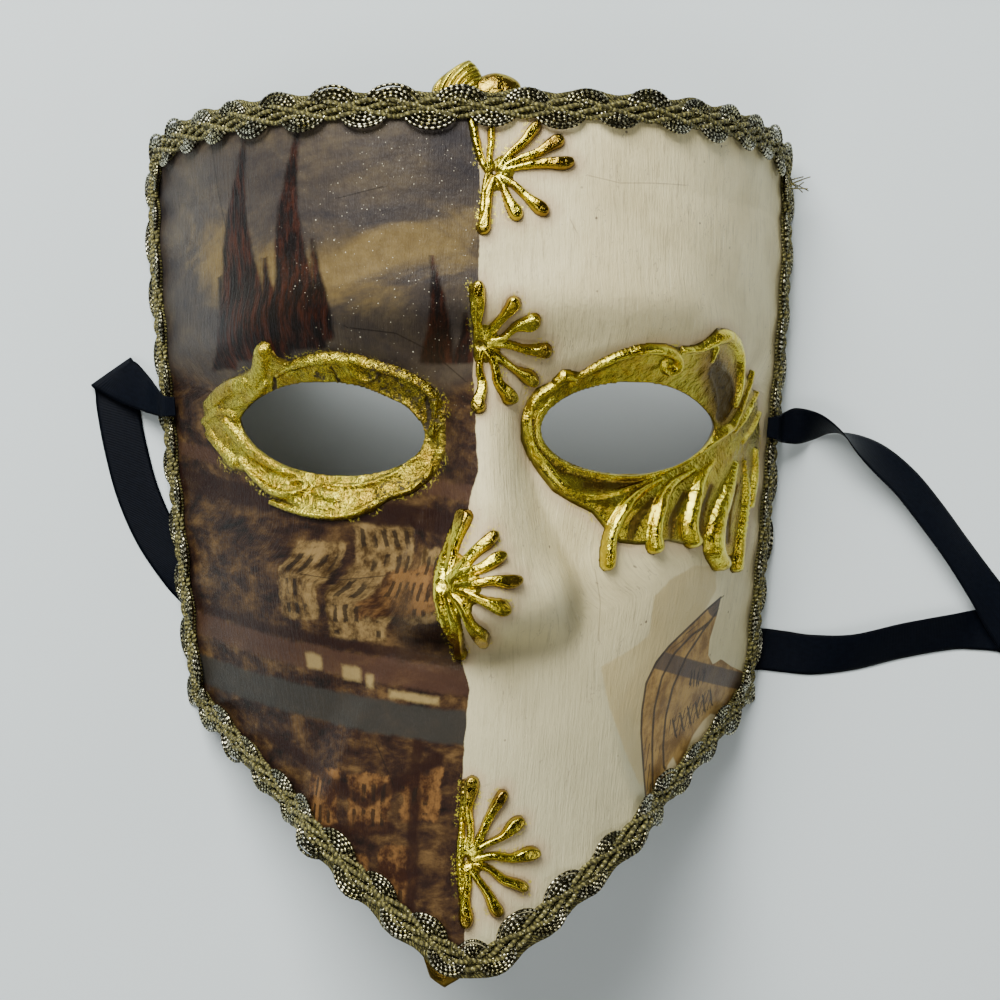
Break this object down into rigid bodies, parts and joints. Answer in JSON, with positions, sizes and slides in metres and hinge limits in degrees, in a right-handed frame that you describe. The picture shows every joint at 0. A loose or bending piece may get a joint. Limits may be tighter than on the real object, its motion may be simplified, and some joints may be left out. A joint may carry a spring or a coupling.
{
  "type": "bauta mask",
  "caption": "Flat-topped carnival mask with a pointed chin, half painted picture and half ivory, gilded relief round the eyes, braided edge and ribbon ties.",
  "frame": {"origin": "centre of the mask's bounding box, its ribbons left out, at the level of the rim that it lies on", "axes": "+Z is out of the face, +Y towards the forehead's straight edge, +X towards the ivory half's side"},
  "size_m": [0.2674, 0.2301, 0.0905],
  "materials": {
    "ivory_gesso": "gessoed and painted papier mache, left half under varnish",
    "gold_leaf": "gold leaf over moulded paste",
    "metal_thread": "dull silver and olive metal thread braid",
    "black_satin": "satin ribbon"
  },
  "bodies": {
    "root": {"mask_shell": "ivory_gesso", "edge_braid": "metal_thread", "gilt_crest": "gold_leaf", "gilt_eye_surround_left": "gold_leaf", "gilt_eye_surround_right": "gold_leaf", "gilt_sunburst_brow": "gold_leaf", "gilt_sunburst_chin": "gold_leaf", "gilt_sunburst_forehead": "gold_leaf", "gilt_sunburst_nose": "gold_leaf", "ribbon_left": "black_satin", "ribbon_left_coil": "black_satin", "ribbon_right": "black_satin", "ribbon_right_coil": "black_satin"}
  },
  "joints": []
}
